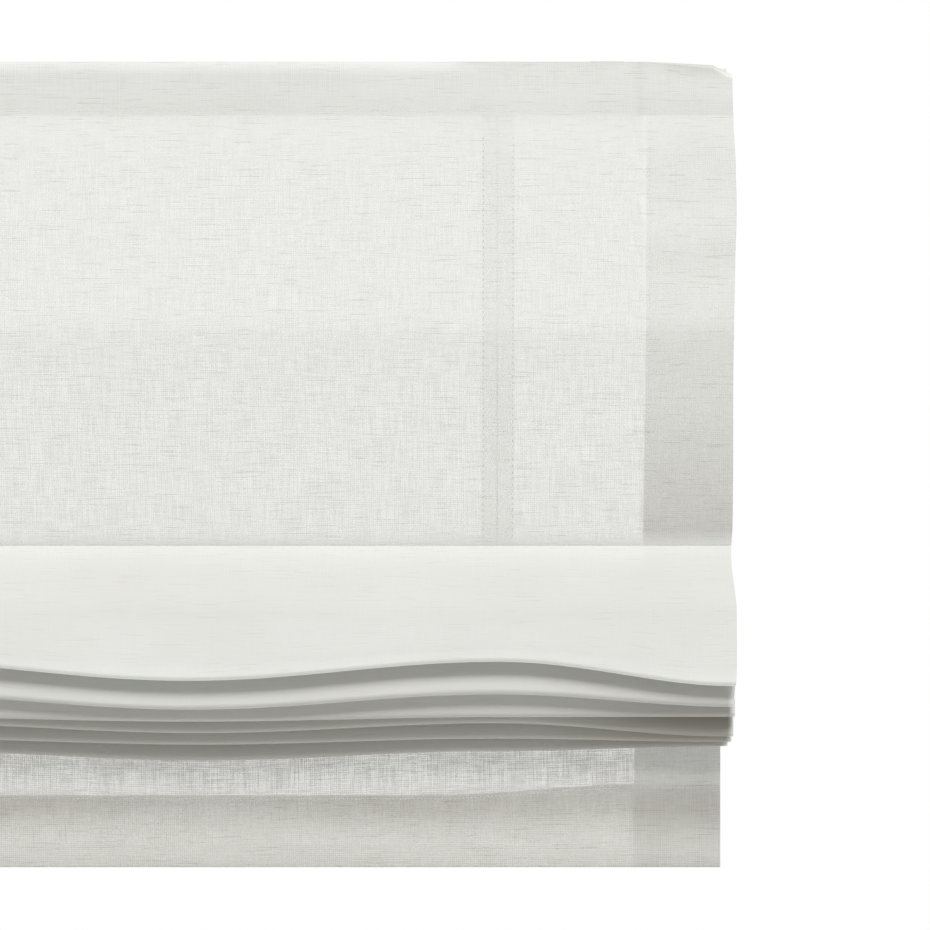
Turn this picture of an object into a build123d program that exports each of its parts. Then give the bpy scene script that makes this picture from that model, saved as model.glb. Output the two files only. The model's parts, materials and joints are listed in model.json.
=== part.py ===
from build123d import *
from math import asin, atan2, cos, hypot, pi, sin
import os

# A cordless Roman blind in sheer linen, hanging raised from a ceiling-fixed headrail.
# Millimetres. X runs along the rail, -Y faces the room and +Z is up.
# The origin is the middle of the bracket screw pattern on the ceiling.

os.makedirs("parts", exist_ok=True)

# Small rounds are drawn with this many sides, which keeps the facets few
round_sides = 20
thin_sides = 12

# Cloth
cloth_width = 1000
cloth_wall = 0.5
side_hem_width = 85
side_hem_wall = 0.4
hem_inner_x = cloth_width / 2 - side_hem_width
heading_height = 49
bottom_hem_height = 70
layer_gap = 0.9
heading_bend = 40
heading_top_z = -1
crease_z = -244
crease_step_y = 1
crease_radius = 8

# Headrail
rail_inset = 12
rail_length = cloth_width - 2 * rail_inset
rail_depth = 40
rail_height = 30
rail_wall = 1.4
rail_lip = 9
rail_corner = 2.5
cap_wall = 3
cap_plug_length = 14
cap_plug_fit = 0.25
cap_plug_wall = 2
cap_edge = 0.6

# Brackets and their locking cams
bracket_wall = 1.6
bracket_gap = 2.4
bracket_width = 36
bracket_depth = 40
bracket_spacing = 760
bracket_corner = 3
screw_hole_radius = 2.25
screw_row_spacing = 30
hook_width = 14
hook_reach = 5.5
flange_depth = 12
cam_y = 4
cam_post_radius = 4
cam_pin_radius = 2.5
cam_head_radius = 3.3
cam_head_depth = 0.8
cam_wall = 1.8
cam_width = 8
cam_lobe_reach = 12
cam_lever_reach = 28
cam_turn_fit = 0.1
cam_hole_fit = 0.15
cam_lip_gap = 0.3

# Lift line, its drum and its cradle
lift_line_x = 281
lift_tape_width = 30
lift_tape_wall = 0.35
tape_gap = 0.1
cord_diameter = 1.4
shaft_side = 6
drum_core_radius = 6.5
drum_flange_radius = 9.5
drum_flange_wall = 2
drum_length = 38
journal_radius = 5
journal_length = 5
shaft_fit = 0.1
journal_fit = 0.1
cradle_wall = 3
cradle_floor = 2.4
cradle_end_gap = 0.4
cradle_depth = 34
drum_floor_gap = 2.2
cord_drum_gap = 0.05
cradle_horn = 6
snap_width = 8.6
funnel_radius = 4.5
funnel_fit = 0.2
funnel_drop = 2
cord_bore_radius = 1.6

# Spring motor
motor_length = 132
motor_height = 23
motor_depth = 26
motor_cover_wall = 2
motor_corner = 3
motor_bore_radius = 4.6

# Hook and loop tapes on the rail and behind the heading
hook_tape_height = 20
hook_tape_wall = 1.2

# Ribs and rings
rib_count = 7
rib_diameter = 4
rib_inset = 10
rib_length = cloth_width - 2 * rib_inset
rib_fit = 0.3
rib_step_z = 18
rib_step_y = 1.5
first_rib_z = -440
panel_y = -4
ring_outer_radius = 7.5
ring_inner_radius = 5.5
ring_wall = 1.8
ring_seat_gap = 0.1
ring_rise = 1.2

# Loops of gathered cloth, from the front one to the back one
loop_radius = 5.5
loop_step_y = 13
first_loop_y = -25
loop_bottoms_middle = (-562, -590.7, -604.4, -617.8, -631.5, -649.7)
loop_bottoms_line = (-544.8, -576.6, -600.2, -608.5, -625.8, -640.8)
loop_bottoms_edge = (-566.8, -588, -599.8, -621, -629, -635.8)
lip_radius = 1.2
lip_gap = 0.5
flap_bend = 45
flap_bend_z = -500
face_to_face = 1.0
back_to_back = 2.0

# Hanging bottom flap and its bar
flap_y = 54
flap_bottom_z = -755.6
bar_height = 20
bar_wall = 3
bar_inset = 25
bar_length = cloth_width - 2 * bar_inset
bar_cap_length = 8
bar_cap_corner = 4
bar_pocket_fit = 0.4
bar_lift = 2
pocket_shoulder = 20

# Stop below the lowest ring
stop_radius = 2.5
stop_length = 5
stop_gap = 0.2
cord_slack_y = 2.5

# Worked-out places
rail_top_z = -bracket_wall - bracket_gap
rail_bottom_z = rail_top_z - rail_height
rail_front_y = -rail_depth / 2
heading_back_y = rail_front_y - 2 * hook_tape_wall - tape_gap
heading_bottom_z = heading_top_z - heading_height
rib_wrap = rib_diameter / 2 + rib_fit
first_rib_y = panel_y + 5
rail_floor_z = rail_bottom_z + rail_wall
slot_half = rail_depth / 2 - rail_lip
rail_inner_depth = rail_depth - 2 * rail_wall
rail_inner_height = rail_height - 2 * rail_wall
bar_y = flap_y + cloth_wall + bar_pocket_fit + bar_wall / 2
bar_bottom_z = flap_bottom_z + cloth_wall + bar_lift
flap_hem_top_z = -665
last_ring_z = first_rib_z - rib_step_z * (rib_count - 1) + ring_rise
stop_z = last_ring_z - ring_wall / 2 - stop_gap - stop_length / 2
shaft_y = -drum_core_radius - cord_diameter / 2 - cord_drum_gap
shaft_z = rail_floor_z + cradle_floor + drum_floor_gap + drum_flange_radius


def rib_y(index):
    return first_rib_y + rib_step_y * index


def rib_z(index):
    return first_rib_z - rib_step_z * index


def ring_y(index):
    tunnel = rib_wrap + cloth_wall + tape_gap + lift_tape_wall
    return rib_y(index) + tunnel + ring_seat_gap + ring_outer_radius


# How low each loop hangs at a distance from the middle of the blind
def loop_bottom(index, x):
    middle = loop_bottoms_middle[index]
    line = loop_bottoms_line[index]
    edge = loop_bottoms_edge[index]
    if x <= lift_line_x:
        blend = (1 - cos(pi * x / lift_line_x)) / 2
        return middle + (line - middle) * blend
    blend = (1 - cos(pi * (x - lift_line_x) / (cloth_width / 2 - lift_line_x))) / 2
    return line + (edge - line) * blend


# Rollers that the cloth's front face runs round: place and radius, minus where it turns clockwise
def cloth_rollers(x):
    heading_turn = cloth_wall + layer_gap / 2
    heading_y = heading_back_y - 2 * heading_turn
    last = rib_count - 1
    rollers = [
        (heading_back_y, heading_bottom_z, 0),
        (heading_y + heading_turn, heading_top_z - heading_turn, heading_turn),
        (heading_y + heading_bend, heading_bottom_z, heading_bend),
        (heading_y + crease_step_y + crease_radius, crease_z, crease_radius),
        (panel_y + lip_radius, first_rib_z + lip_gap + lip_radius, lip_radius),
        (rib_y(0), rib_z(0), -rib_wrap),
        (panel_y + lip_radius, first_rib_z - lip_gap - lip_radius, lip_radius),
        (first_loop_y + flap_bend, flap_bend_z, flap_bend),
    ]
    for i in range(last):
        loop_y = first_loop_y + loop_step_y * i + loop_radius
        loop_z = loop_bottom(i, x) + loop_radius
        packed = (face_to_face + back_to_back) * (last - 1 - i)
        if i > 0:
            rollers.append((rib_y(i + 1), rib_z(i + 1), rib_wrap + back_to_back))
        if 1 < i < last - 1:
            rollers.append((rib_y(last), rib_z(last), rib_wrap + back_to_back + packed))
        if i > 1:
            above_z = loop_bottom(i - 1, x) + loop_radius
            rollers.append((loop_y - loop_step_y, above_z, loop_radius - loop_step_y))
        rollers.append((loop_y, loop_z, loop_radius))
        if 0 < i < last - 1:
            rollers.append((rib_y(last), rib_z(last), -rib_wrap - packed))
        rollers.append((rib_y(i + 1), rib_z(i + 1), -rib_wrap))
    pocket_turn = cloth_wall + bar_wall / 2 + bar_pocket_fit
    pocket_y = flap_y + pocket_turn
    shoulder_z = flap_bottom_z + bar_height + bar_lift + 4
    seam_y = flap_y + 2 * cloth_wall + layer_gap
    rollers += [
        (loop_y, loop_z, loop_y - flap_y),
        (pocket_y, flap_bottom_z + pocket_turn, pocket_turn),
        (pocket_y + pocket_turn - pocket_shoulder, shoulder_z, pocket_shoulder),
        (seam_y, flap_bottom_z + bottom_hem_height, 0),
    ]
    return rollers


# The stretch of the rollers that the side hem follows, from the heading to the first rib
def panel_rollers():
    rollers = cloth_rollers(0)
    top = (rollers[2][0] - heading_bend, heading_bottom_z + 0.5, 0)
    end = (rollers[4][0] - lip_radius, rollers[4][1] + 2 * lip_radius, 0)
    return [top, rollers[2], rollers[3], end]


# The stretch that the lift tape follows, from the heading to just below the first rib
def tape_rollers():
    rollers = cloth_rollers(lift_line_x)
    top = (rollers[2][0] - heading_bend, heading_bottom_z + 0.5, 0)
    end = (panel_y, rib_z(0) - rib_wrap - lip_gap, 0)
    return [top] + rollers[2:6] + [end]


# Straight runs and arcs of a line that is pulled tight round the rollers, shifted to its left
def tight_line(rollers, shift):
    radii = [radius - shift for _, _, radius in rollers]
    headings = []
    for i in range(len(rollers) - 1):
        run_y = rollers[i + 1][0] - rollers[i][0]
        run_z = rollers[i + 1][1] - rollers[i][1]
        tilt = asin((radii[i + 1] - radii[i]) / hypot(run_y, run_z))
        headings.append(atan2(run_z, run_y) - tilt)

    def touch(i, heading):
        y, z, _ = rollers[i]
        return (y + radii[i] * sin(heading), z - radii[i] * cos(heading))

    start = touch(0, headings[0])
    here = start
    for i in range(1, len(rollers)):
        there = touch(i, headings[i - 1])
        Line(here, there)
        here = there
        if i < len(rollers) - 1:
            turned = (headings[i] - headings[i - 1]) % (2 * pi)
            if radii[i] < 0:
                turned -= 2 * pi
            here = touch(i, headings[i])
            ThreePointArc(there, touch(i, headings[i - 1] + turned / 2), here)
    return start, here


# Closed outline of a wall that follows the rollers between two shifts
def wall_outline(rollers, near, far):
    near_start, near_end = tight_line(rollers, near)
    far_start, far_end = tight_line(rollers, far)
    Line(near_start, far_start)
    Line(near_end, far_end)


# Cloth: heading, panel, rib tunnels, loops, flap and bottom hem in one folded sheet
with BuildPart() as linen_cloth:
    for x in (0, lift_line_x, cloth_width / 2):
        with BuildSketch(Plane.YZ.offset(x)) as section:
            with BuildLine():
                wall_outline(cloth_rollers(x), 0, cloth_wall)
            make_face()
    loft(ruled=True)
    with BuildSketch(Plane.YZ.offset(hem_inner_x)) as side_hem:
        with BuildLine():
            wall_outline(panel_rollers(), cloth_wall, cloth_wall + side_hem_wall)
        make_face()
        flap_hem_z = flap_bottom_z + bottom_hem_height + 1
        with Locations((flap_y + cloth_wall, flap_hem_z)):
            Rectangle(side_hem_wall, flap_hem_top_z - flap_hem_z, align=(Align.MIN, Align.MIN))
    extrude(amount=side_hem_width)
    mirror(about=Plane.YZ)
linen_cloth.part.label = "linen_cloth"
export_step(linen_cloth.part, "parts/linen_cloth.step")

# Headrail: a channel with two inturned lips, with a hole in its floor for each cord funnel
with BuildPart() as headrail:
    with BuildSketch(Plane.YZ) as channel:
        with Locations((0, rail_top_z - rail_height / 2)):
            RectangleRounded(rail_depth, rail_height, rail_corner)
            inner_corner = rail_corner - rail_wall
            RectangleRounded(rail_inner_depth, rail_inner_height, inner_corner, mode=Mode.SUBTRACT)
        with Locations((0, rail_top_z)):
            Rectangle(2 * slot_half, 3 * rail_wall, mode=Mode.SUBTRACT)
    extrude(amount=rail_length / 2 - cap_wall, both=True)
    with Locations((-lift_line_x, 0, rail_floor_z), (lift_line_x, 0, rail_floor_z)):
        Hole(funnel_radius + funnel_fit)
headrail.part.label = "headrail"
export_step(headrail.part, "parts/headrail.step")

# Hook tape on the rail and the loop tape that it holds
for name, front_y in (("hook_tape", rail_front_y - hook_tape_wall),
                      ("loop_tape", rail_front_y - 2 * hook_tape_wall)):
    with BuildPart(Plane.XZ.offset(-front_y)) as tape:
        with Locations((0, rail_top_z - rail_height / 2)):
            Box(rail_length - 2 * cap_wall, hook_tape_height, hook_tape_wall,
                align=(Align.CENTER, Align.CENTER, Align.MAX))
    tape.part.label = name
    export_step(tape.part, f"parts/{name}.step")

for side, sign in (("left", -1), ("right", 1)):
    cap_plane = Plane.YZ.offset(sign * (rail_length / 2 - cap_wall))

    # End cap: a face plate and a hollow plug that pushes into the channel
    with BuildPart() as end_cap:
        with BuildSketch(cap_plane) as plate:
            with Locations((0, rail_top_z - rail_height / 2)):
                cap_face = Rectangle(rail_depth, rail_height)
                chamfer(cap_face.vertices(), rail_corner)
        extrude(amount=sign * cap_wall)
        with BuildSketch(cap_plane) as plug_outline:
            with Locations((0, rail_top_z - rail_height / 2)):
                plug_depth = rail_inner_depth - 2 * cap_plug_fit
                plug_height = rail_inner_height - 2 * cap_plug_fit
                plug = Rectangle(plug_depth, plug_height)
                chamfer(plug.vertices(), rail_corner - rail_wall)
                Rectangle(plug_depth - 2 * cap_plug_wall, plug_height - 2 * cap_plug_wall,
                          mode=Mode.SUBTRACT)
        extrude(amount=-sign * cap_plug_length)
        outer_edges = end_cap.faces().sort_by(Axis.X)[-1 if sign > 0 else 0].outer_wire().edges()
        chamfer(outer_edges, cap_edge)
    end_cap.part.label = f"end_cap_{side}"
    export_step(end_cap.part, f"parts/end_cap_{side}.step")

    # Bracket: a screw plate with side flanges on the rail and a hook under its front lip
    bracket_x = sign * bracket_spacing / 2
    with BuildPart() as bracket:
        with BuildSketch(Plane.XY) as screw_plate:
            with Locations((bracket_x, 0)):
                plate = Rectangle(bracket_width, bracket_depth)
                chamfer(plate.vertices(), bracket_corner)
        extrude(amount=-bracket_wall)
        with Locations((bracket_x, 0, -bracket_wall)):
            with Locations((0, -rail_depth / 2, 0)):
                with GridLocations(bracket_width - bracket_wall, 0, 2, 1):
                    Box(bracket_wall, flange_depth, bracket_gap,
                        align=(Align.CENTER, Align.MIN, Align.MAX))
        with BuildSketch(Plane.YZ.offset(bracket_x)) as hook:
            with BuildLine():
                hook_y = -slot_half + 0.4
                hook_z = rail_top_z - rail_wall - cam_lip_gap - bracket_wall
                FilletPolyline((hook_y + bracket_wall, -bracket_wall / 2),
                               (hook_y + bracket_wall, hook_z),
                               (hook_y - hook_reach, hook_z), radius=bracket_wall + 0.6)
                FilletPolyline((hook_y, -bracket_wall / 2), (hook_y, hook_z + bracket_wall),
                               (hook_y - hook_reach, hook_z + bracket_wall), radius=0.6)
                Line((hook_y, -bracket_wall / 2), (hook_y + bracket_wall, -bracket_wall / 2))
                Line((hook_y - hook_reach, hook_z), (hook_y - hook_reach, hook_z + bracket_wall))
            make_face()
        extrude(amount=hook_width / 2, both=True)
        with Locations((bracket_x, 0, 0)):
            with GridLocations(0, screw_row_spacing, 1, 2):
                Hole(screw_hole_radius)
        for radius, depth in ((cam_pin_radius, bracket_wall), (cam_head_radius, cam_head_depth)):
            with BuildSketch(Plane.XY) as cam_hole:
                with Locations((bracket_x, cam_y)):
                    RegularPolygon(radius + cam_hole_fit, round_sides)
            extrude(amount=-depth - cam_turn_fit, mode=Mode.SUBTRACT)
    bracket.part.label = f"bracket_{side}"
    export_step(bracket.part, f"parts/bracket_{side}.step")

    # Locking cam: a riveted post with a finger lever above the rail and a lobe under its rear lip
    lever_top_z = -bracket_wall - (bracket_gap - cam_wall) / 2
    lobe_top_z = rail_top_z - rail_wall - cam_lip_gap
    with BuildPart() as cam:
        with BuildSketch(Plane.XY.offset(lobe_top_z - cam_wall)) as lobe:
            with Locations((bracket_x, cam_y)):
                RegularPolygon(cam_post_radius, round_sides)
                Rectangle(cam_width, cam_lobe_reach, align=(Align.CENTER, Align.MIN))
        extrude(amount=cam_wall)
        with BuildSketch(Plane.XY.offset(lobe_top_z)) as post:
            with Locations((bracket_x, cam_y)):
                RegularPolygon(cam_post_radius, round_sides)
        extrude(amount=lever_top_z - lobe_top_z)
        with BuildSketch(Plane.XY.offset(lever_top_z - cam_wall)) as lever:
            with Locations((bracket_x, cam_y)):
                Rectangle(cam_width, cam_lever_reach, align=(Align.CENTER, Align.MIN))
        extrude(amount=cam_wall)
        chamfer(cam.edges().filter_by(Axis.Z).sort_by(Axis.Y)[-2:], cam_width / 3)
        with BuildSketch(Plane.XY.offset(lever_top_z)) as pin:
            with Locations((bracket_x, cam_y)):
                RegularPolygon(cam_pin_radius, round_sides)
        extrude(amount=-cam_head_depth - lever_top_z)
        with BuildSketch(Plane.XY.offset(-cam_head_depth)) as head:
            with Locations((bracket_x, cam_y)):
                RegularPolygon(cam_head_radius, round_sides)
        extrude(amount=cam_head_depth - cam_turn_fit)
    cam.part.label = f"cam_{side}"
    export_step(cam.part, f"parts/cam_{side}.step")

    # Cord drum: core, journals and an outer flange, with a square bore for the shaft
    line_x = sign * lift_line_x
    with BuildPart() as drum:
        for radius, length in ((drum_core_radius, drum_length),
                               (journal_radius, drum_length + 2 * journal_length)):
            with BuildSketch(Plane.YZ.offset(line_x)) as turned:
                with Locations((shaft_y, shaft_z)):
                    RegularPolygon(radius, round_sides)
            extrude(amount=length / 2, both=True)
        with BuildSketch(Plane.YZ.offset(line_x + sign * drum_length / 2)) as flange:
            with Locations((shaft_y, shaft_z)):
                RegularPolygon(drum_flange_radius, round_sides)
        extrude(amount=-sign * drum_flange_wall)
        with BuildSketch(Plane.YZ.offset(line_x)) as shaft_bore:
            with Locations((shaft_y, shaft_z)):
                Rectangle(shaft_side + shaft_fit, shaft_side + shaft_fit)
        extrude(amount=drum_length, both=True, mode=Mode.SUBTRACT)
    drum.part.label = f"cord_drum_{side}"
    export_step(drum.part, f"parts/cord_drum_{side}.step")

    # Drum cradle: a floor, two snap-in bearings and the funnel that the cord leaves by
    with BuildPart() as cradle:
        horn_x = drum_length / 2 + cradle_end_gap
        with Locations((line_x, 0, rail_floor_z)):
            Box(2 * (horn_x + cradle_wall), cradle_depth, cradle_floor,
                align=(Align.CENTER, Align.CENTER, Align.MIN))
        for end in (-1, 1):
            with BuildSketch(Plane.YZ.offset(line_x + end * horn_x)) as horn:
                with Locations((shaft_y, rail_floor_z + cradle_floor / 2)):
                    Rectangle(2 * journal_radius + cradle_horn,
                              shaft_z + journal_radius - rail_floor_z,
                              align=(Align.CENTER, Align.MIN))
                with Locations((shaft_y, shaft_z)):
                    RegularPolygon(journal_radius + journal_fit, round_sides, mode=Mode.SUBTRACT)
                    Rectangle(snap_width, 2 * journal_radius + cradle_horn, mode=Mode.SUBTRACT,
                              align=(Align.CENTER, Align.MIN))
            extrude(amount=end * cradle_wall)
        funnel_foot = Plane.XY.offset(rail_bottom_z - funnel_drop)
        with BuildSketch(funnel_foot) as funnel:
            with Locations((line_x, 0)):
                RegularPolygon(funnel_radius, round_sides)
        extrude(amount=rail_wall + funnel_drop + cradle_floor / 2)
        with BuildSketch(funnel_foot) as cord_bore:
            with Locations((line_x, 0)):
                RegularPolygon(cord_bore_radius, thin_sides)
        extrude(amount=rail_height, mode=Mode.SUBTRACT)
    cradle.part.label = f"drum_cradle_{side}"
    export_step(cradle.part, f"parts/drum_cradle_{side}.step")

    # Lift tape, sewn behind the panel and round the first rib tunnel
    with BuildPart() as lift_tape:
        with BuildSketch(Plane.YZ.offset(line_x)) as strip:
            with BuildLine():
                near = cloth_wall + tape_gap
                wall_outline(tape_rollers(), near, near + lift_tape_wall)
            make_face()
        extrude(amount=lift_tape_width / 2, both=True)
    lift_tape.part.label = f"lift_tape_{side}"
    export_step(lift_tape.part, f"parts/lift_tape_{side}.step")

    # Rings behind the ribs
    for i in range(rib_count):
        with BuildPart() as ring:
            with BuildSketch(Plane.XY.offset(rib_z(i) + ring_rise - ring_wall / 2)) as hoop:
                with Locations((line_x, ring_y(i))):
                    RegularPolygon(ring_outer_radius, thin_sides)
                    RegularPolygon(ring_inner_radius, thin_sides, mode=Mode.SUBTRACT)
            extrude(amount=ring_wall)
        ring.part.label = f"ring_{side}_{i + 1}"
        export_step(ring.part, f"parts/ring_{side}_{i + 1}.step")

    # Lift cord, straight from the drum through every ring, and the stop that it lifts by
    cord_top = Vector(line_x, 0, shaft_z)
    cord_end = Vector(line_x, ring_y(rib_count - 1) - cord_slack_y, stop_z)
    cord_foot = cord_end - (cord_end - cord_top).normalized() * stop_length / 2
    with BuildPart() as lift_cord:
        with BuildSketch(Plane(cord_top, z_dir=cord_end - cord_top)) as strand:
            RegularPolygon(cord_diameter / 2, thin_sides)
        extrude(amount=(cord_foot - cord_top).length)
    lift_cord.part.label = f"lift_cord_{side}"
    export_step(lift_cord.part, f"parts/lift_cord_{side}.step")
    with BuildPart() as cord_stop:
        with BuildSketch(Plane(cord_foot, z_dir=cord_end - cord_top)) as pull:
            RegularPolygon(stop_radius, thin_sides)
        extrude(amount=stop_length)
    cord_stop.part.label = f"cord_stop_{side}"
    export_step(cord_stop.part, f"parts/cord_stop_{side}.step")

    # Tip on the end of the bottom bar
    with BuildPart() as bar_tip:
        with BuildSketch(Plane.XZ.offset(-bar_y)) as tip:
            with Locations((sign * bar_length / 2, bar_bottom_z + bar_height / 2)):
                Rectangle(bar_cap_length, bar_height,
                          align=(Align.MIN if sign > 0 else Align.MAX, Align.CENTER))
            fillet(tip.vertices().group_by(Axis.X)[-1 if sign > 0 else 0], bar_cap_corner)
        extrude(amount=bar_wall / 2, both=True)
    bar_tip.part.label = f"bar_tip_{side}"
    export_step(bar_tip.part, f"parts/bar_tip_{side}.step")

# Lift shaft
with BuildPart() as lift_shaft:
    with Locations((0, shaft_y, shaft_z)):
        Box(2 * lift_line_x + drum_length + 4 * journal_length, shaft_side, shaft_side)
lift_shaft.part.label = "lift_shaft"
export_step(lift_shaft.part, "parts/lift_shaft.step")

# Spring motor: a closed housing round the shaft and the cover on its end
motor_z = rail_floor_z + motor_height / 2
for name, start_x, length in (("spring_motor", -motor_length / 2, motor_length),
                              ("spring_motor_cover", motor_length / 2, motor_cover_wall)):
    with BuildPart() as housing:
        with BuildSketch(Plane.YZ.offset(start_x)) as outline:
            with Locations((0, motor_z)):
                housing_face = Rectangle(motor_depth, motor_height)
                chamfer(housing_face.vertices(), motor_corner)
            with Locations((shaft_y, shaft_z)):
                RegularPolygon(motor_bore_radius, round_sides, mode=Mode.SUBTRACT)
        extrude(amount=length)
    housing.part.label = name
    export_step(housing.part, f"parts/{name}.step")

# Ribs in their tunnels
for i in range(rib_count):
    with BuildPart() as rib:
        with BuildSketch(Plane.YZ) as rod:
            with Locations((rib_y(i), rib_z(i))):
                RegularPolygon(rib_diameter / 2, thin_sides)
        extrude(amount=rib_length / 2, both=True)
    rib.part.label = f"rib_{i + 1}"
    export_step(rib.part, f"parts/rib_{i + 1}.step")

# Bottom bar in the hem
with BuildPart() as bottom_bar:
    with Locations((0, bar_y, bar_bottom_z)):
        Box(bar_length, bar_wall, bar_height, align=(Align.CENTER, Align.CENTER, Align.MIN))
bottom_bar.part.label = "bottom_bar"
export_step(bottom_bar.part, "parts/bottom_bar.step")
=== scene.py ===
import json
from math import asin, atan2, ceil, cos, hypot, pi, radians, sin
import bmesh
import bpy
from mathutils import Matrix, Vector, noise
from mathutils.bvhtree import BVHTree


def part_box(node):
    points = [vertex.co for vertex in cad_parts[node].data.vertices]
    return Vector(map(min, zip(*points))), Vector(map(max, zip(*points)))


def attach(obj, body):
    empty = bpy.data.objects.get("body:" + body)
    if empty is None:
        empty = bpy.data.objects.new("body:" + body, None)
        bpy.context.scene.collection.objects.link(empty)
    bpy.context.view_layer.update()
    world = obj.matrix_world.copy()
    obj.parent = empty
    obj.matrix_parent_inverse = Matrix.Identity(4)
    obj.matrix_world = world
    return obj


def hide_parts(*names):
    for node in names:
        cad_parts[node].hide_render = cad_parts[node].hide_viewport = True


# Roman blind in sheer linen, pulled up, hanging from a ceiling headrail
# Metres. X runs along the rail, -Y faces the room and Z is up

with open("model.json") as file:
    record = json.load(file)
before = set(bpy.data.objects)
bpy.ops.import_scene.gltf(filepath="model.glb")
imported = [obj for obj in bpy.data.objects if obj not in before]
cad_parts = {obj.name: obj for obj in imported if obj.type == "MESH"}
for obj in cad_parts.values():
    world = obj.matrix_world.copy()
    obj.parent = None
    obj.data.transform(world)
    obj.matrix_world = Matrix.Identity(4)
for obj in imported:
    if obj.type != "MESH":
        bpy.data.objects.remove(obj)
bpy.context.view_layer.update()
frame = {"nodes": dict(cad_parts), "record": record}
nodes = frame["nodes"]
print("frame loaded:", len(nodes), "nodes")

cloth = dict(
    halfWidth=0.5,
    wall=0.0005,
    sideHem=0.085,
    hemGap=0.0004,
    hemBlend=0.002,
    headingHeight=0.049,
    headingBend=0.040,
    headingTurn=0.00095,
    tapeGap=0.0001,
    creaseZ=-0.244,
    creaseStep=0.001,
    creaseRadius=0.008,
    panelY=-0.004,
    lipRadius=0.00045,
    lipGap=-0.0002,
    ribWrap=0.0023,
    bottomHem=0.070,
    hemRise=0.011,
    hemRiseFrom=0.22,
    hemRiseTo=0.42,
    pocketTurn=0.0024,
    pocketOver=0.006,
    edgeFrom=0.40,
    shoulderRadius=0.020,
    layerGap=0.0009,
    cutLength=2.31,
)

loops = dict(
    radius=0.0055,
    stepY=0.013,
    firstY=-0.025,
    bendRadius=0.045,
    bendZ=-0.500,
    faceToFace=0.0010,
    backToBack=0.0020,
    middle=(-0.5620, -0.5907, -0.6044, -0.6178, -0.6315, -0.6497),
    line=(-0.5448, -0.5766, -0.6002, -0.6085, -0.6258, -0.6408),
    edge=(-0.5668, -0.5880, -0.5998, -0.6210, -0.6290, -0.6358),
)

mesh = dict(columnStep=0.0065, edgeStep=0.0003, stripWidth=0.0058, runStep=0.014, arcStep=0.003, arcTurn=0.32)

ripple = dict(panel=0.0012, flap=0.0010, across=5.0, down=3.2, fade=0.03, flapTop=0.03, flapFoot=-0.66,
              fine=0.4, fineAcross=3, fineDown=2.4, seed=3.7, fineSeed=8.1)


def fromHex(text):
    out = []
    for i in (0, 2, 4):
        c = int(text[i:i + 2], 16) / 255
        out.append(c / 12.92 if c <= 0.04045 else ((c + 0.055) / 1.055) ** 2.4)
    return (*out, 1)


def boxMiddle(name):
    low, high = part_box(name)
    return (low + high) / 2


def smooth(value, low, high):
    t = min(max((value - low) / (high - low), 0), 1)
    return t * t * (3 - 2 * t)


# places that the frame gives
ribs = [boxMiddle(f"rib_{i}") for i in range(1, 8)]
clothLow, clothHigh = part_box("linen_cloth")
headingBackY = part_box("loop_tape")[0].y - cloth["tapeGap"]
headingTopZ = clothHigh.z
headingBottomZ = headingTopZ - cloth["headingHeight"]
headingY = headingBackY - 2 * cloth["headingTurn"]
flapY = boxMiddle("bottom_bar").y - cloth["pocketTurn"]
flapBottomZ = clothLow.z
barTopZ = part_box("bottom_bar")[1].z
lineX = boxMiddle("ring_right_1").x


# how low a loop hangs, at a distance from the middle of the blind
def loopBottom(i, x):
    x = abs(x)
    middle, line, edge = loops["middle"][i], loops["line"][i], loops["edge"][i]
    if x <= lineX:
        return middle + (line - middle) * (1 - cos(pi * x / lineX)) / 2
    return line + (edge - line) * (1 - cos(pi * (x - lineX) / (cloth["halfWidth"] - lineX))) / 2


# how much higher the bottom hem's seam stands towards the sides
def hemRiseAt(x):
    return cloth["hemRise"] * smooth(abs(x), cloth["hemRiseFrom"], cloth["hemRiseTo"])


# rollers that the cloth runs round, as (y, z, radius), minus where it turns clockwise
def clothRollers(x):
    lip, wrap, last = cloth["lipRadius"], cloth["ribWrap"], len(ribs) - 1
    lipY = cloth["panelY"] + lip
    lipStep = cloth["lipGap"] + lip
    rollers = [
        (headingBackY, headingBottomZ, 0),
        (headingY + cloth["headingTurn"], headingTopZ - cloth["headingTurn"], cloth["headingTurn"]),
        (headingY + cloth["headingBend"], headingBottomZ, cloth["headingBend"]),
        (headingY + cloth["creaseStep"] + cloth["creaseRadius"], cloth["creaseZ"], cloth["creaseRadius"]),
        (lipY, ribs[0].z + lipStep, lip),
        (ribs[0].y, ribs[0].z, -wrap),
        (lipY, ribs[0].z - lipStep, lip),
        (loops["firstY"] + loops["bendRadius"], loops["bendZ"], loops["bendRadius"]),
    ]
    r, step, back = loops["radius"], loops["stepY"], loops["backToBack"]
    for i in range(last):
        loopY = loops["firstY"] + step * i + r
        loopZ = loopBottom(i, x) + r
        packed = (loops["faceToFace"] + back) * (last - 1 - i)
        if i > 0:
            rollers.append((ribs[i + 1].y, ribs[i + 1].z, wrap + back))
        if 1 < i < last - 1:
            rollers.append((ribs[last].y, ribs[last].z, wrap + back + packed))
        if i > 1:
            rollers.append((loopY - step, loopBottom(i - 1, x) + r, r - step))
        rollers.append((loopY, loopZ, r))
        if 0 < i < last - 1:
            rollers.append((ribs[last].y, ribs[last].z, -wrap - packed))
        rollers.append((ribs[i + 1].y, ribs[i + 1].z, -wrap))
    turn = cloth["pocketTurn"]
    pocketY = flapY + turn
    seamY = flapY + 2 * cloth["wall"] + cloth["layerGap"]
    rollers += [
        (loopY, loopZ, loopY - flapY),
        (pocketY, flapBottomZ + turn, turn),
        (pocketY + turn - cloth["shoulderRadius"], barTopZ + cloth["pocketOver"], cloth["shoulderRadius"]),
        (seamY, flapBottomZ + cloth["bottomHem"] + hemRiseAt(x), 0),
    ]
    return rollers


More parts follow.
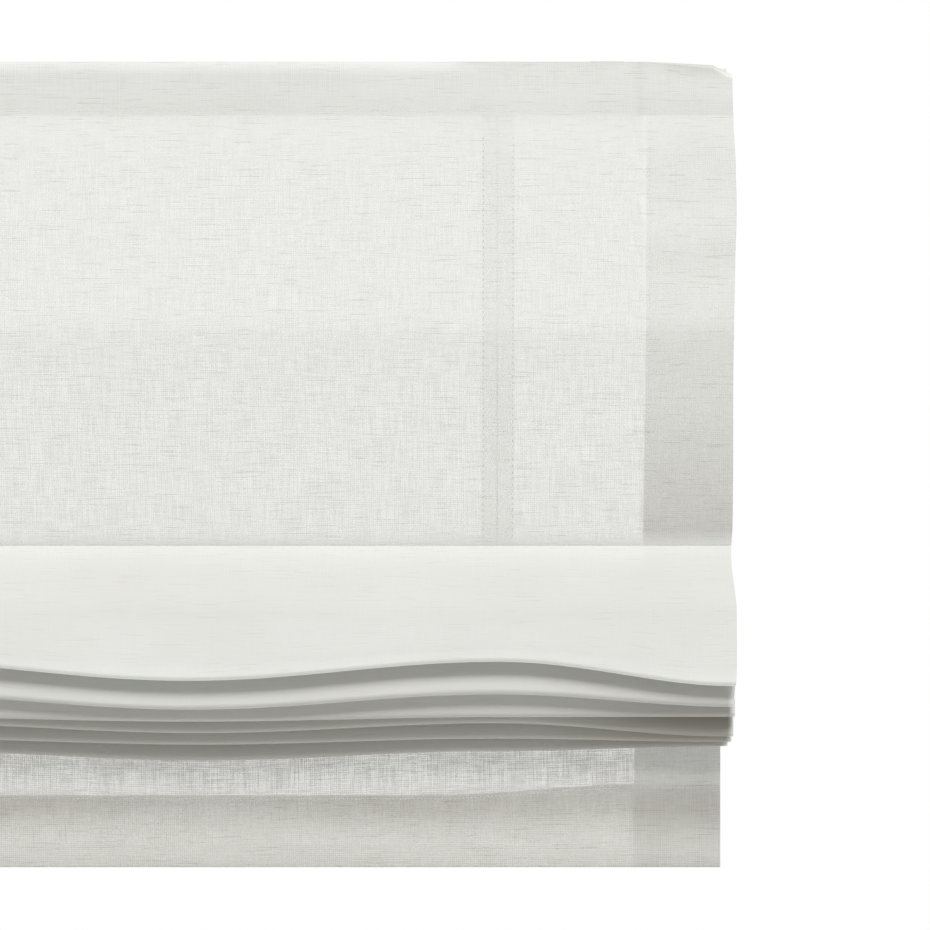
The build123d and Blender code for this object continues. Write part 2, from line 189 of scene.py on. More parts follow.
# runs and arcs of a line pulled tight round the rollers, shifted to the cloth's back
def tightPath(rollers, shift):
    radii = [radius - shift for _, _, radius in rollers]
    headings = []
    for (y1, z1, _), (y2, z2, _), r1, r2 in zip(rollers, rollers[1:], radii, radii[1:]):
        tilt = asin((r2 - r1) / hypot(y2 - y1, z2 - z1))
        headings.append(atan2(z2 - z1, y2 - y1) - tilt)

    def touch(i, heading):
        y, z, _ = rollers[i]
        return y + radii[i] * sin(heading), z - radii[i] * cos(heading)

    pieces = []
    for i, heading in enumerate(headings):
        pieces.append(dict(kind="run", start=touch(i, heading), end=touch(i + 1, heading)))
        if i + 1 < len(headings):
            turned = (headings[i + 1] - heading) % (2 * pi)
            if radii[i + 1] < 0:
                turned -= 2 * pi
            pieces.append(dict(kind="arc", centre=rollers[i + 1][:2], radius=radii[i + 1],
                               heading=heading, turned=turned))
    return pieces


def pieceLength(piece):
    if piece["kind"] == "run":
        (y1, z1), (y2, z2) = piece["start"], piece["end"]
        return hypot(y2 - y1, z2 - z1)
    return abs(piece["radius"] * piece["turned"])


def stepsIn(piece):
    length = pieceLength(piece)
    if piece["kind"] == "run":
        return max(1, ceil(length / mesh["runStep"]))
    return max(1, ceil(min(length / mesh["arcStep"] + 1, abs(piece["turned"]) / mesh["arcTurn"])))


def pointOn(piece, t):
    if piece["kind"] == "run":
        (y1, z1), (y2, z2) = piece["start"], piece["end"]
        return y1 + (y2 - y1) * t, z1 + (z2 - z1) * t
    heading = piece["heading"] + piece["turned"] * t
    y, z = piece["centre"]
    return y + piece["radius"] * sin(heading), z - piece["radius"] * cos(heading)


# small waves of the panel and the front flap, always towards the room
def clothRipple(x, z, kind):
    top, bottom = headingBottomZ, ribs[0].z
    if kind == "flap":
        top, bottom = loops["bendZ"] + ripple["flapTop"], ripple["flapFoot"]
    fade = ripple["fade"]
    share = smooth(z, bottom, bottom + fade) * (1 - smooth(z, top - fade, top))
    wave = noise.noise(Vector((x * ripple["across"], z * ripple["down"], ripple["seed"])))
    fineX = x * ripple["fineAcross"] * ripple["across"]
    fineZ = z * ripple["fineDown"] * ripple["down"]
    wave += ripple["fine"] * noise.noise(Vector((fineX, fineZ, ripple["fineSeed"])))
    return -ripple[kind] * share * max(0.5 + 0.5 * wave, 0)


# how far the side edge stands out or in from its straight line, by the height on the panel
edgeShifts = ((-0.013, -0.0070), (-0.055, -0.0062), (-0.095, -0.0040), (-0.135, -0.0030), (-0.190, -0.0045),
              (-0.245, -0.0055), (-0.430, -0.0030), (-0.454, -0.0050), (-0.500, -0.0032), (-0.560, -0.0030))
loopEdgeShifts = (-0.0036, -0.0046, 0.0010, 0.0022, 0.0030, 0.0022)
flapEdgeShift = -0.0020


def edgeShift(z):
    if z >= edgeShifts[0][0]:
        return edgeShifts[0][1]
    for (z1, shift1), (z2, shift2) in zip(edgeShifts, edgeShifts[1:]):
        if z >= z2:
            return shift1 + (shift2 - shift1) * smooth(z, z1, z2)
    return edgeShifts[-1][1]


# painted shade on the cloth by height, as (z, share), for the side hem, the panel, the front flap and the
# hanging one
hemShades = ((-0.050, 0.0), (-0.112, 0.03), (-0.150, 0.0), (-0.175, 0.08), (-0.200, 0.02), (-0.240, 0.05),
            (-0.246, 0.12), (-0.310, 0.14), (-0.340, 0.22), (-0.400, 0.33), (-0.440, 0.42))
panelShades = ((-0.050, 0.12), (-0.062, 0.09), (-0.235, 0.11), (-0.248, 0.14), (-0.440, 0.18))
flapShades = ((-0.440, 0.28), (-0.449, 0.255), (-0.460, 0.27), (-0.477, 0.29), (-0.488, 0.245),
             (-0.510, 0.13), (-0.540, 0.13), (-0.600, 0.11))
hangShades = ((-0.630, 0.14), (-0.660, 0.28), (-0.682, 0.36), (-0.688, 0.56), (-0.725, 0.32), (-0.756, 0.26))
hangHemShades = ((-0.630, 0.0), (-0.676, 0.0), (-0.683, 0.22), (-0.690, 0.50), (-0.725, 0.45), (-0.756, 0.32))


def shadeAt(greys, z):
    if z >= greys[0][0]:
        return greys[0][1]
    for (z1, share1), (z2, share2) in zip(greys, greys[1:]):
        if z >= z2:
            return share1 + (share2 - share1) * (z1 - z) / (z1 - z2)
    return greys[-1][1]


# painted shade in the gathered loops: it grows with their depth, and their lit lips get more than the shade
# above them
stackShade = dict(lip=0.30, deepLip=0.26, lipFrom=0.008, lipTo=0.020, above=0.72, rear=0.3, front=-0.010,
                 back=0.016, litFrom=-0.0165, litTo=-0.0125, outer=0.35, outerFrom=0.30, outerTo=0.47,
                 end=0.4942, endFade=0.005)


def stackPaintedShade(x, y, z, bottom):
    deep = smooth(y, stackShade["front"], stackShade["back"])
    rise = smooth(z - bottom, stackShade["lipFrom"], stackShade["lipTo"])
    lip = stackShade["lip"] + stackShade["deepLip"] * deep
    share = lip * (1 - rise) + stackShade["above"] * deep * rise
    outer = smooth(abs(x), stackShade["outerFrom"], stackShade["outerTo"])
    share *= smooth(y, stackShade["litFrom"], stackShade["litTo"]) * (1 + stackShade["outer"] * outer)
    return share * (1 - smooth(abs(x), stackShade["end"], stackShade["end"] + stackShade["endFade"]))


# painted shade on the heading: darker along the top towards the ends, where the back layer shows above the
# front one, at its foot and in the middle; also a darker line near the side hem's edge
headingShade = dict(middle=0.05, middleFrom=0.05, middleTo=0.35, strip=0.24, stripFrom=0.22, stripTo=0.27,
                   stripFoot=0.0075, stripTop=0.0045, endFrom=0.480, endTo=0.486, low=0.08, lowFoot=0.004,
                   lowTop=0.022, seam=0.08, seamX=0.409, seamWidth=0.006)


def headingPaintedShade(x, z):
    look, away = headingShade, abs(x)
    strip = smooth(away, look["stripFrom"], look["stripTo"]) * smooth(
        z, headingTopZ - look["stripFoot"], headingTopZ - look["stripTop"])
    low = 1 - smooth(z, headingBottomZ + look["lowFoot"], headingTopZ - look["lowTop"])
    seam = max(0, 1 - abs(away - look["seamX"]) / look["seamWidth"])
    middle = 1 - smooth(away, look["middleFrom"], look["middleTo"])
    inside = 1 - smooth(away, look["endFrom"], look["endTo"])
    return look["middle"] * middle + look["strip"] * strip * inside + look["low"] * low + look["seam"] * seam


# the ends of the heading sag, the front layer more than the back one
sag = dict(start=0.402, front=0.0068, back=0.0034, corner=0.0080, cornerFrom=0.480, cornerHeight=0.014)


def headingSag(x, z, layer):
    away, half = abs(x), cloth["halfWidth"]
    share = smooth(away, sag["start"], half) * smooth(z, headingBottomZ, headingTopZ)
    corner = sag["corner"] * smooth(away, sag["cornerFrom"], half)
    return -share * sag[layer] - corner * smooth(z, headingTopZ - sag["cornerHeight"], headingTopZ)


def addNode(tree, kind, settings=None, links=None):
    node = tree.nodes.new(kind)
    for name, value in (settings or {}).items():
        if name in node.inputs:
            node.inputs[name].default_value = value
        else:
            setattr(node, name, value)
    for name, source in (links or {}).items():
        tree.links.new(source, node.inputs[name])
    return node


def newMaterial(name):
    material = bpy.data.materials.new(name)
    material.use_nodes = True
    material.node_tree.nodes.clear()
    return material, material.node_tree


def finishMaterial(material, tree, surface):
    out = tree.nodes.new("ShaderNodeOutputMaterial")
    tree.links.new(surface, out.inputs["Surface"])
    return material


def maths(tree, operation, a, b=0.0):
    node = tree.nodes.new("ShaderNodeMath")
    node.operation = operation
    for i, value in enumerate((a, b)):
        if isinstance(value, (int, float)):
            node.inputs[i].default_value = value
        else:
            tree.links.new(value, node.inputs[i])
    return node.outputs[0]


def mixColour(tree, factor, a, b):
    node = tree.nodes.new("ShaderNodeMix")
    node.data_type = "RGBA"
    for socket, value in ((node.inputs[0], factor), (node.inputs[6], a), (node.inputs[7], b)):
        if isinstance(value, bpy.types.NodeSocket):
            tree.links.new(value, socket)
        else:
            socket.default_value = value
    return node.outputs[2]


def stretchedNoise(tree, coordinates, scale, detail=2.0):
    spread = addNode(tree, "ShaderNodeVectorMath", {"operation": "MULTIPLY"})
    tree.links.new(coordinates, spread.inputs[0])
    spread.inputs[1].default_value = scale
    node = addNode(tree, "ShaderNodeTexNoise", {"Scale": 1.0, "Detail": detail, "Roughness": 0.5},
                   {"Vector": spread.outputs[0]})
    return node.outputs["Fac"]


def rangeOf(tree, value, low, high, toLow=0.0, toHigh=1.0):
    node = addNode(tree, "ShaderNodeMapRange",
                   {"interpolation_type": "SMOOTHSTEP", "From Min": low, "From Max": high,
                    "To Min": toLow, "To Max": toHigh}, {"Value": value})
    return node.outputs["Result"]


linenLook = dict(
    light="F3F4F0",
    dark="E8E9E4",
    slub="CDCBC1",
    # the grey that the painted shade mixes the cloth towards
    shadow="918B80",
    upright=(640, 36, 1),
    level=(48, 560, 1),
    slubs=(28, 620, 1),
    clouds=(9, 13, 1),
    patches=(38, 26, 1),
    grid=163.6,
    uprightShare=0.45,
    levelShare=0.37,
    gridShare=0.15,
    gapRange=(0.41, 0.71, 0.2, 1.8),
    patchRange=(0.75, 1.25, 0.8, 1.2),
    slubRange=(0.60, 0.72),
    darkRange=(0.71, 0.42),
    cloudRange=(0.35, 0.65),
    cloudShare=0.25,
    threadDepth=(0.6, 0.3),
    slubDepth=(0.36, 0.10),
    slubRelief=0.6,
    open=0.16,
    translucent=0.12,
)


# a share that grows with the cloth's openness, as (slope, start)
def withSheer(tree, sheer, depth):
    slope, start = depth
    return maths(tree, "ADD", maths(tree, "MULTIPLY", sheer, slope), start)


def makeLinen(name, look):
    material, tree = newMaterial(name)
    flat = addNode(tree, "ShaderNodeUVMap", {"uv_map": "flat"}).outputs["UV"]
    sheer = addNode(tree, "ShaderNodeAttribute", {"attribute_name": "sheer"}).outputs["Fac"]
    # per-vertex share of painted shade, read from the mesh
    paintedShade = addNode(tree, "ShaderNodeAttribute", {"attribute_name": "paintedShade"}).outputs["Fac"]
    upright = stretchedNoise(tree, flat, look["upright"], 1.0)
    level = stretchedNoise(tree, flat, look["level"], 1.0)
    grid = maths(tree, "ADD", *(addNode(tree, "ShaderNodeTexWave",
                                        {"bands_direction": way, "Scale": look["grid"], "Distortion": 1.0},
                                        {"Vector": flat}).outputs["Fac"] for way in ("X", "Y")))
    slubs = stretchedNoise(tree, flat, look["slubs"], 1.0)
    clouds = stretchedNoise(tree, flat, look["clouds"], 4.0)
    patches = stretchedNoise(tree, flat, look["patches"], 3.0)

    threads = maths(tree, "ADD", maths(tree, "MULTIPLY", upright, look["uprightShare"]),
                    maths(tree, "MULTIPLY", level, look["levelShare"]))
    threads = maths(tree, "ADD", threads, maths(tree, "MULTIPLY", grid, look["gridShare"]))
    gaps = rangeOf(tree, threads, *look["gapRange"])
    patchiness = rangeOf(tree, maths(tree, "ADD", clouds, patches), *look["patchRange"])
    openShare = maths(tree, "MULTIPLY", maths(tree, "MULTIPLY", gaps, patchiness), look["open"])
    openShare = maths(tree, "MULTIPLY", openShare, sheer)

    slubShare = rangeOf(tree, slubs, *look["slubRange"])
    threadDepth = withSheer(tree, sheer, look["threadDepth"])
    threadDark = maths(tree, "MULTIPLY", rangeOf(tree, threads, *look["darkRange"]), threadDepth)
    colour = mixColour(tree, threadDark, fromHex(look["light"]), fromHex(look["dark"]))
    cloudShare = maths(tree, "MULTIPLY", rangeOf(tree, clouds, *look["cloudRange"]), look["cloudShare"])
    colour = mixColour(tree, cloudShare, colour, fromHex(look["dark"]))
    slubDepth = withSheer(tree, sheer, look["slubDepth"])
    colour = mixColour(tree, maths(tree, "MULTIPLY", slubShare, slubDepth), colour, fromHex(look["slub"]))
    # painted shade: the cloth's colour is mixed towards the shadow grey by the per-vertex share
    colour = mixColour(tree, paintedShade, colour, fromHex(look["shadow"]))

    bumpHeight = maths(tree, "ADD", threads, maths(tree, "MULTIPLY", slubShare, look["slubRelief"]))
    bump = addNode(tree, "ShaderNodeBump", {"Strength": 0.35, "Distance": 0.0004}, {"Height": bumpHeight})
    body = addNode(tree, "ShaderNodeBsdfPrincipled",
                   {"Roughness": 0.85, "Specular IOR Level": 0.15, "Sheen Weight": 0.12},
                   {"Base Color": colour, "Normal": bump.outputs["Normal"]})
    through = addNode(tree, "ShaderNodeBsdfTranslucent", None,
                      {"Color": colour, "Normal": bump.outputs["Normal"]})
    solid = addNode(tree, "ShaderNodeMixShader", {"Fac": look["translucent"]})
    tree.links.new(body.outputs[0], solid.inputs[1])
    tree.links.new(through.outputs[0], solid.inputs[2])
    clear = tree.nodes.new("ShaderNodeBsdfTransparent")
    whole = addNode(tree, "ShaderNodeMixShader", None, {"Fac": openShare})
    tree.links.new(solid.outputs[0], whole.inputs[1])
    tree.links.new(clear.outputs[0], whole.inputs[2])
    return finishMaterial(material, tree, whole.outputs[0])


# moulded, coated and drawn surfaces of the hidden hardware
def makeHard(name, look):
    material, tree = newMaterial(name)
    place = addNode(tree, "ShaderNodeTexCoord").outputs["Object"]
    grain = stretchedNoise(tree, place, look["grain"], 3.0)
    clouds = stretchedNoise(tree, place, (18, 18, 18), 2.0)
    colour = mixColour(tree, rangeOf(tree, clouds, 0.35, 0.65), fromHex(look["colour"]),
                       fromHex(look["shade"]))
    roughness = rangeOf(tree, grain, 0.3, 0.7, look["roughness"] - 0.06, look["roughness"] + 0.06)
    bump = addNode(tree, "ShaderNodeBump", {"Strength": look["bump"], "Distance": 0.0002}, {"Height": grain})
    settings = {"Metallic": look.get("metal", 0.0), "Transmission Weight": look.get("clear", 0.0),
                "IOR": 1.48}
    body = addNode(tree, "ShaderNodeBsdfPrincipled", settings,
                   {"Base Color": colour, "Roughness": roughness, "Normal": bump.outputs["Normal"]})
    return finishMaterial(material, tree, body.outputs[0])


# woven tapes and braided cord
def makeWoven(name, look):
    material, tree = newMaterial(name)
    place = addNode(tree, "ShaderNodeTexCoord").outputs["Object"]
    waves = []
    for direction, scale in (("X", look["warp"]), ("Z", look["weft"])):
        node = addNode(tree, "ShaderNodeTexWave",
                       {"bands_direction": direction, "Scale": scale, "Distortion": 0.6}, {"Vector": place})
        waves.append(node.outputs["Fac"])
    weave = maths(tree, "MULTIPLY", waves[0], waves[1])
    clouds = stretchedNoise(tree, place, (60, 60, 60), 3.0)
    colour = mixColour(tree, weave, fromHex(look["shade"]), fromHex(look["colour"]))
    colour = mixColour(tree, maths(tree, "MULTIPLY", clouds, 0.3), colour, fromHex(look["shade"]))
    bump = addNode(tree, "ShaderNodeBump", {"Strength": 0.6, "Distance": 0.0003}, {"Height": weave})
    body = addNode(tree, "ShaderNodeBsdfPrincipled", {"Roughness": 0.8, "Specular IOR Level": 0.2},
                   {"Base Color": colour, "Normal": bump.outputs["Normal"]})
    clear = tree.nodes.new("ShaderNodeBsdfTransparent")
    whole = addNode(tree, "ShaderNodeMixShader", {"Fac": look["open"]})
    tree.links.new(body.outputs[0], whole.inputs[1])
    tree.links.new(clear.outputs[0], whole.inputs[2])
    return finishMaterial(material, tree, whole.outputs[0])


hardLooks = {
    "white_aluminium": dict(colour="EEEEEB", shade="E6E6E3", roughness=0.36, bump=0.08, grain=(60, 900, 900)),
    "zinc_steel": dict(colour="CDD0D3", shade="BDC0C3", roughness=0.40, bump=0.12, grain=(500, 500, 900),
                       metal=0.55),
    "white_plastic": dict(colour="EFEFEC", shade="E9E9E5", roughness=0.42, bump=0.10, grain=(700, 700, 700)),
    "grey_plastic": dict(colour="B4B7B9", shade="A9ACAE", roughness=0.48, bump=0.15, grain=(900, 900, 900)),
    "clear_plastic": dict(colour="F2F5F5", shade="EAEEEE", roughness=0.18, bump=0.04, grain=(500, 500, 500),
                          clear=0.6),
    "fibreglass_rod": dict(colour="E9E8E0", shade="DEDDD3", roughness=0.35, bump=0.10,
                           grain=(30, 1500, 1500)),
}
wovenLooks = {
    "woven_tape": dict(colour="FAFAF8", shade="ECEBE6", warp=700, weft=500, open=0.78),
    "tape": dict(colour="EFEFEC", shade="D3D3CE", warp=420, weft=420, open=0.0),
    "cord": dict(colour="F4F3EF", shade="D2D0C8", warp=300, weft=900, open=0.0),
}

materials = {"linen": makeLinen("linen", linenLook)}
for slotName, look in hardLooks.items():
    materials[slotName] = makeHard(slotName, look)
for slotName, look in wovenLooks.items():
    materials[slotName] = makeWoven(slotName, look)
threads = {
    "white": makeWoven("white_thread", dict(colour="FFFFFF", shade="F0F0EC", warp=900, weft=900, open=0.0)),
    "grey": makeWoven("grey_thread", dict(colour="B9B8B0", shade="A5A39A", warp=900, weft=900, open=0.0)),
}
print("materials made:", len(materials) + len(threads))

nodeSlots = {s["node"]: s["material_slot"] for s in frame["record"]["subparts"]}
for name, obj in nodes.items():
    obj.data.materials.clear()
    obj.data.materials.append(materials[nodeSlots[name]])


def addMesh(name, bm, material):
    data = bpy.data.meshes.new(name)
    bm.to_mesh(data)
    bm.free()
    data.materials.append(material)
    obj = bpy.data.objects.new(name, data)
    bpy.context.scene.collection.objects.link(obj)
    return obj


def addPiece(name, bm, material):
    obj = addMesh(name, bm, material)
    for face in obj.data.polygons:
        face.use_smooth = True
    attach(obj, "blind")
    return obj


# how open the linen is: hardly in the stack, most where one layer hangs free
openness = dict(stack=0.05, heading=0.45, panel=1.08, upper=0.26, upperFrom=-0.300, upperTo=-0.235,
                top=0.40, topFrom=-0.096, topTo=-0.076, hang=1.5, hangHem=0.5)


def panelSheer(z):
    upper = openness["upper"] * smooth(z, openness["upperFrom"], openness["upperTo"])
    top = openness["top"] * smooth(z, openness["topFrom"], openness["topTo"])
    return openness["panel"] - upper - top


# painted shade on the hanging flap by height, and darker in a band under its hem's upper edge, away from the
# middle
hemShadeBand = dict(share=0.12, xFrom=0.02, xTo=0.20, depthFrom=0.684, depthTo=0.692, foot=-0.725, footTo=-0.700)


def hangPaintedShade(x, z, inSideHem):
    seamZ = z - hemRiseAt(x)
    grey = shadeAt(hangShades, seamZ) * (1 - inSideHem) + inSideHem * shadeAt(hangHemShades, seamZ)
    band = hemShadeBand["share"] * smooth(abs(x), hemShadeBand["xFrom"], hemShadeBand["xTo"])
    band *= smooth(-z, hemShadeBand["depthFrom"], hemShadeBand["depthTo"])
    return grey + band * smooth(z, hemShadeBand["foot"], hemShadeBand["footTo"])


# the cloth: one sheet with its side hems turned in, from the heading's back to the bottom hem's seam
def makeCloth():
    half, hem = cloth["halfWidth"], cloth["sideHem"]
    plan = [tightPath(clothRollers(x), cloth["wall"] / 2) for x in (0, lineX / 2, lineX, half)]
    counts = [max(stepsIn(path[i]) for path in plan) for i in range(len(plan[0]))]
    lengths = [pieceLength(piece) for piece in plan[0]]
    rows = []
    flatAt = 0
    for i, (count, length) in enumerate(zip(counts, lengths)):
        rows += [(i, j / count, flatAt + length * j / count) for j in range(count)]
        flatAt += length
    rows.append((len(counts) - 1, 1.0, flatAt))
    columns = 2 * round((half + hem) / mesh["columnStep"])
    print("cloth:", columns, "by", len(rows) - 1, "faces, path", round(flatAt, 3), "m")

    # the path's runs and arcs by number: heading, panel, front flap, loops of nine each, hanging flap
    headingPieces = range(4)
    panelPieces = range(4, 7)
    flapPiece = 14
    flapPieces = range(flapPiece - 3, flapPiece + 1)
    loopPieces = 9
    hangPieces = range(len(counts) - 6, len(counts))
    rearPieces = range(hangPieces[0] - 3, hangPieces[0])
    paths = {}

    def pathAt(x, shift):
        key = (round(abs(x), 6), shift)
        if key not in paths:
            paths[key] = tightPath(clothRollers(abs(x)), shift)
        return paths[key]

    bm = bmesh.new()
    bmesh.ops.create_grid(bm, x_segments=columns, y_segments=len(rows) - 1, size=0.5)
    flatMap = bm.loops.layers.uv.new("flat")
    sheer = bm.verts.layers.float.new("sheer")
    # per-vertex share of painted shade, mixed into the linen's colour
    paintedShade = bm.verts.layers.float.new("paintedShade")
    flatPlace = {}
    foldVerts = set()
    for vert in bm.verts:
        across = (half + hem) * 2 * vert.co.x
        index, t, along = rows[round((vert.co.y + 0.5) * (len(rows) - 1))]
        side = 1 if across > 0 else -1
        inHem = abs(across) > half + 1e-5
        if abs(abs(across) - half) < mesh["columnStep"]:
            across = side * (half + (mesh["edgeStep"] if inHem else -mesh["edgeStep"]))
            foldVerts.add(vert)
        elif abs(abs(across) - half) < 2 * mesh["columnStep"]:
            across = side * (half + (mesh["stripWidth"] if inHem else -mesh["stripWidth"]))
        x = side * (2 * half - abs(across)) if inHem else across
        shift = cloth["wall"] / 2 + (cloth["hemGap"] if inHem else 0)
        y, z = pointOn(pathAt(x, shift)[index], t)
        loopIndex = min(max((index - flapPiece) // loopPieces, 0), len(loops["edge"]) - 1)
        inSideHem = smooth(abs(x), half - hem - cloth["hemBlend"], half - hem)
        # each part of the cloth gets a share of painted shade below, darkening that stands in for shadow
        vert[sheer] = openness["stack"]
        if index in headingPieces:
            vert[sheer] = openness["heading"]
            vert[paintedShade] = headingPaintedShade(x, z)
            z += headingSag(x, z, "back" if index < 2 else "front")
        elif index in panelPieces:
            vert[sheer] = panelSheer(z)
            vert[paintedShade] = shadeAt(panelShades, z) * (1 - inSideHem) + inSideHem * shadeAt(hemShades, z)
            y += clothRipple(x, z, "panel")
        elif index in flapPieces:
            vert[paintedShade] = shadeAt(flapShades, z)
            y += clothRipple(x, z, "flap") if index == flapPiece else 0
        elif index in hangPieces:
            vert[sheer] = openness["hang"] - openness["hangHem"] * inSideHem
            vert[paintedShade] = hangPaintedShade(x, z, inSideHem)
        elif index > flapPiece:
            # painted shade in the stack, lessened on the rear pieces that face the back
            grey = stackPaintedShade(x, y, z, loopBottom(loopIndex, x))
            vert[paintedShade] = grey * (stackShade["rear"] if index in rearPieces else 1)
        outward = flapEdgeShift if index in hangPieces else loopEdgeShifts[loopIndex]
        if index <= flapPiece:
            outward = edgeShift(z)
        x += side * outward * smooth(abs(x), cloth["edgeFrom"], half)
        vert.co = (x, y, z)
        flatPlace[vert] = (across, along)
    for face in bm.faces:
        for loop in face.loops:
            loop[flatMap].uv = flatPlace[loop.vert]
    for edge in bm.edges:
        edge.smooth = not foldVerts.issuperset(edge.verts)
    obj = addPiece("linen_sheet", bm, materials["linen"])
    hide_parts("linen_cloth")
    return obj


clothObject = makeCloth()

stitch = dict(length=0.0024, thickness=0.00042, pitch=0.0038, tapePitch=0.0058, sunk=0.00008, sway=0.06,
              swayScale=900, castFrom=-0.3)


# stitches along lines given as (x, z) points, lying on the cloth's room side
def makeStitches(name, lines, pitch, colour):
    surface = BVHTree.FromObject(clothObject, bpy.context.evaluated_depsgraph_get())
    bm = bmesh.new()
    for (x1, z1), (x2, z2) in lines:
        length = hypot(x2 - x1, z2 - z1)
        tilt = atan2(z2 - z1, x2 - x1)
        for i in range(int(length / pitch)):
            t = (i + 0.5) * pitch / length
            x, z = x1 + (x2 - x1) * t, z1 + (z2 - z1) * t
            place = surface.ray_cast(Vector((x, stitch["castFrom"], z)), Vector((0, 1, 0)))[0]
            if place is None:
                continue
            sway = noise.noise(Vector((stitch["swayScale"] * x, stitch["swayScale"] * z, 0)))
            turn = Matrix.Rotation(-tilt - stitch["sway"] * sway, 4, "Y")
            stretch = Matrix.Diagonal((stitch["length"], stitch["thickness"], stitch["thickness"], 1))
            shift = Matrix.Translation((x, place.y + stitch["sunk"], z))
            bmesh.ops.create_uvsphere(bm, u_segments=6, v_segments=4, radius=0.5,
                                      matrix=shift @ turn @ stretch)
    obj = addPiece(name, bm, threads[colour])
    return obj


def clothEdgeX(z):
    return cloth["halfWidth"] + edgeShift(z)


# how far each row of stitches stands from the edge or seam that it follows
stitchRows = dict(heading=0.0036, headingEnd=0.004, sideHem=0.003, panelTop=0.004, panelFoot=0.006,
                  flapTop=0.02, flapFoot=0.012, tapeEdge=0.0016, tapeTop=0.014, bottomHem=0.003,
                  hemReach=0.48, hemStep=0.024)
headingSeamZ = headingBottomZ + stitchRows["heading"]
headingSeamX = clothEdgeX(headingSeamZ) - stitchRows["headingEnd"]
tapeLow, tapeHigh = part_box("lift_tape_right")
hemX = cloth["halfWidth"] - cloth["sideHem"] + stitchRows["sideHem"]
panelTopZ, panelFootZ = headingBottomZ - stitchRows["panelTop"], ribs[0].z + stitchRows["panelFoot"]
flapTopZ, flapFootZ = loops["bendZ"] + stitchRows["flapTop"], loops["edge"][0] + stitchRows["flapFoot"]
hemSeamZ = flapBottomZ + cloth["bottomHem"] - stitchRows["bottomHem"]
headingLines = [((-headingSeamX, headingSeamZ), (headingSeamX, headingSeamZ))]
tapeLines = []
hemLines = []
for side in (-1, 1):
    for x in (tapeLow.x + stitchRows["tapeEdge"], tapeHigh.x - stitchRows["tapeEdge"]):
        tapeLines.append(((side * x, panelTopZ - stitchRows["tapeTop"]), (side * x, panelFootZ)))
    hemLines.append(((side * hemX, panelTopZ), (side * hemX, panelFootZ)))
    hemLines.append(((side * hemX, flapTopZ), (side * hemX, flapFootZ)))
seamLines = []
for i in range(round(2 * stitchRows["hemReach"] / stitchRows["hemStep"])):
    x1, x2 = (-stitchRows["hemReach"] + j * stitchRows["hemStep"] for j in (i, i + 1))
    seamLines.append(((x1, hemSeamZ + hemRiseAt(x1)), (x2, hemSeamZ + hemRiseAt(x2))))
stitches = [
    makeStitches("heading_stitches", headingLines, stitch["pitch"], "white"),
    makeStitches("tape_stitches", tapeLines, stitch["tapePitch"], "grey"),
    makeStitches("side_hem_stitches", hemLines, stitch["pitch"], "white"),
    makeStitches("bottom_hem_stitches", seamLines, stitch["pitch"], "white"),
]
print("stitch rows made:", len(stitches))


# the rings are round, where the solids have flat sides
ring = dict(wall=0.002, sides=10, steps=30, weld=0.00002)


def makeRing(name):
    low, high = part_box(name)
    middle = (low + high) / 2
    wide, tall = ring["wall"] / 2, (high.z - low.z) / 2
    centre = Vector((middle.x + (high.x - low.x) / 2 - wide, middle.y, middle.z))
    turn = Matrix.Rotation(pi / 2, 4, "X")
    section = Matrix.Translation(centre) @ Matrix.Diagonal((wide, 1, tall, 1)) @ turn
    bm = bmesh.new()
    made = bmesh.ops.create_circle(bm, segments=ring["sides"], radius=1, matrix=section)
    outline = made["verts"] + bm.edges[:]
    bmesh.ops.spin(bm, geom=outline, cent=middle, axis=(0, 0, 1), angle=2 * pi, steps=ring["steps"])
    bmesh.ops.remove_doubles(bm, verts=bm.verts, dist=ring["weld"])
    bmesh.ops.recalc_face_normals(bm, faces=bm.faces)
    obj = addPiece(name + "_round", bm, materials["clear_plastic"])
    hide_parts(name)


ringNames = [name for name in nodes if name.startswith("ring_")]
for name in ringNames:
    makeRing(name)
print("rings made:", len(ringNames))

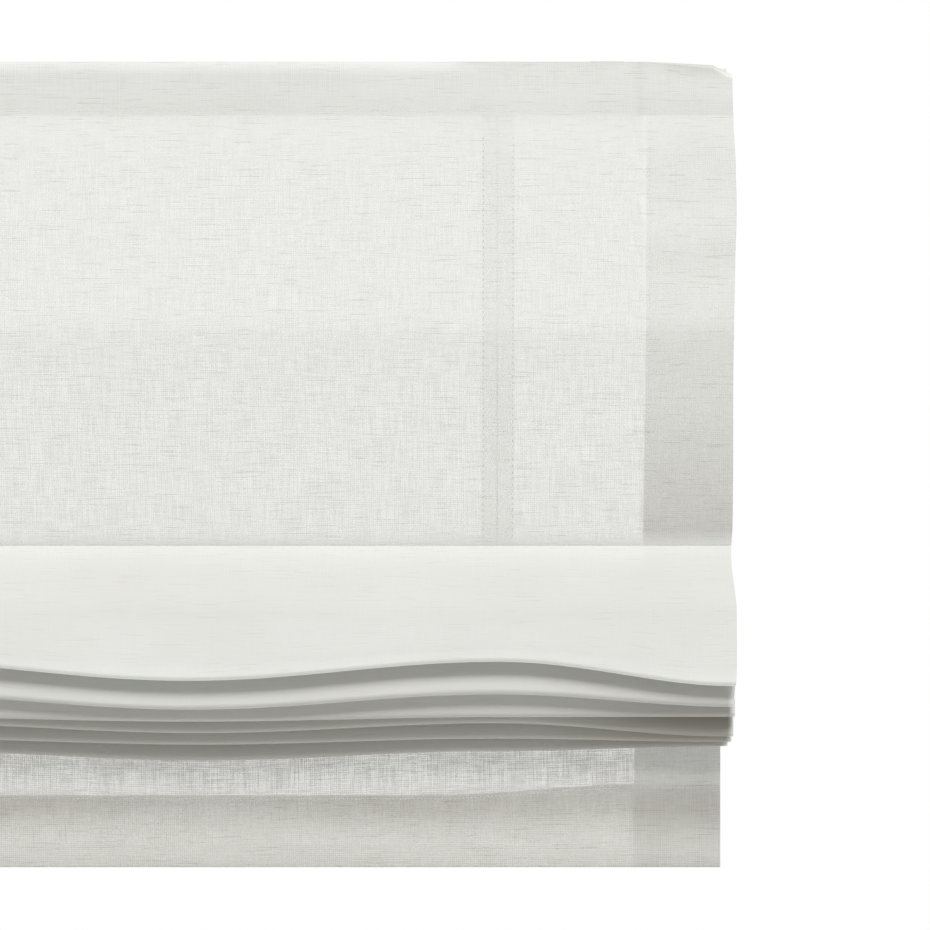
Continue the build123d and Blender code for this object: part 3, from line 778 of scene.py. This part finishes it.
floor = dict(size=7.0, z=-2.1, colour="F4F4F2", roughness=0.9)
bm = bmesh.new()
bmesh.ops.create_grid(bm, x_segments=1, y_segments=1, size=floor["size"] / 2)
for vert in bm.verts:
    vert.co = (vert.co.x, vert.co.y, floor["z"])
floorMaterial, floorTree = newMaterial("floor")
floorBody = addNode(floorTree, "ShaderNodeBsdfPrincipled",
                    {"Base Color": fromHex(floor["colour"]), "Roughness": floor["roughness"]})
finishMaterial(floorMaterial, floorTree, floorBody.outputs[0])
addMesh("floor", bm, floorMaterial)

# light: an even white room, a soft lamp from above the front and a weak one from the window side
light = dict(room=0.26, backdrop=1.0, strength=3.38, angle=0.32, elevation=55, side=0, fill=0.5,
             fillElevation=20, fillSide=180)
scene = bpy.context.scene
scene.view_settings.view_transform = "Standard"
world = bpy.data.worlds.new("room")
scene.world = world
world.use_nodes = True
world.node_tree.nodes.clear()
room = addNode(world.node_tree, "ShaderNodeBackground", {"Strength": light["room"]})
white = addNode(world.node_tree, "ShaderNodeBackground", {"Strength": light["backdrop"]})
room.inputs["Color"].default_value = (1, 1, 1, 1)
white.inputs["Color"].default_value = (1, 1, 1, 1)
seen = addNode(world.node_tree, "ShaderNodeLightPath").outputs["Is Camera Ray"]
chosen = addNode(world.node_tree, "ShaderNodeMixShader", None, {"Fac": seen})
world.node_tree.links.new(room.outputs[0], chosen.inputs[1])
world.node_tree.links.new(white.outputs[0], chosen.inputs[2])
worldOut = world.node_tree.nodes.new("ShaderNodeOutputWorld")
world.node_tree.links.new(chosen.outputs[0], worldOut.inputs["Surface"])


def addLamp(name, strength, angle, elevation, side):
    lamp = bpy.data.lights.new(name, "SUN")
    lamp.energy = strength
    lamp.angle = angle
    lampObject = bpy.data.objects.new(name, lamp)
    lampObject.rotation_euler = (radians(90 - elevation), 0, radians(side))
    scene.collection.objects.link(lampObject)


addLamp("lamp", light["strength"], light["angle"], light["elevation"], light["side"])
addLamp("window", light["fill"], light["angle"], light["fillElevation"], light["fillSide"])

view = dict(place=(0.251, -1.154, -0.366), lens=48.4, sensor=36)
camera = bpy.data.cameras.new("camera")
camera.lens = view["lens"]
camera.sensor_width = view["sensor"]
cameraObject = bpy.data.objects.new("camera", camera)
cameraObject.location = view["place"]
cameraObject.rotation_euler = (radians(90), 0, 0)
scene.collection.objects.link(cameraObject)
scene.camera = cameraObject
print("stage, light and camera set")

bpy.context.view_layer.update()
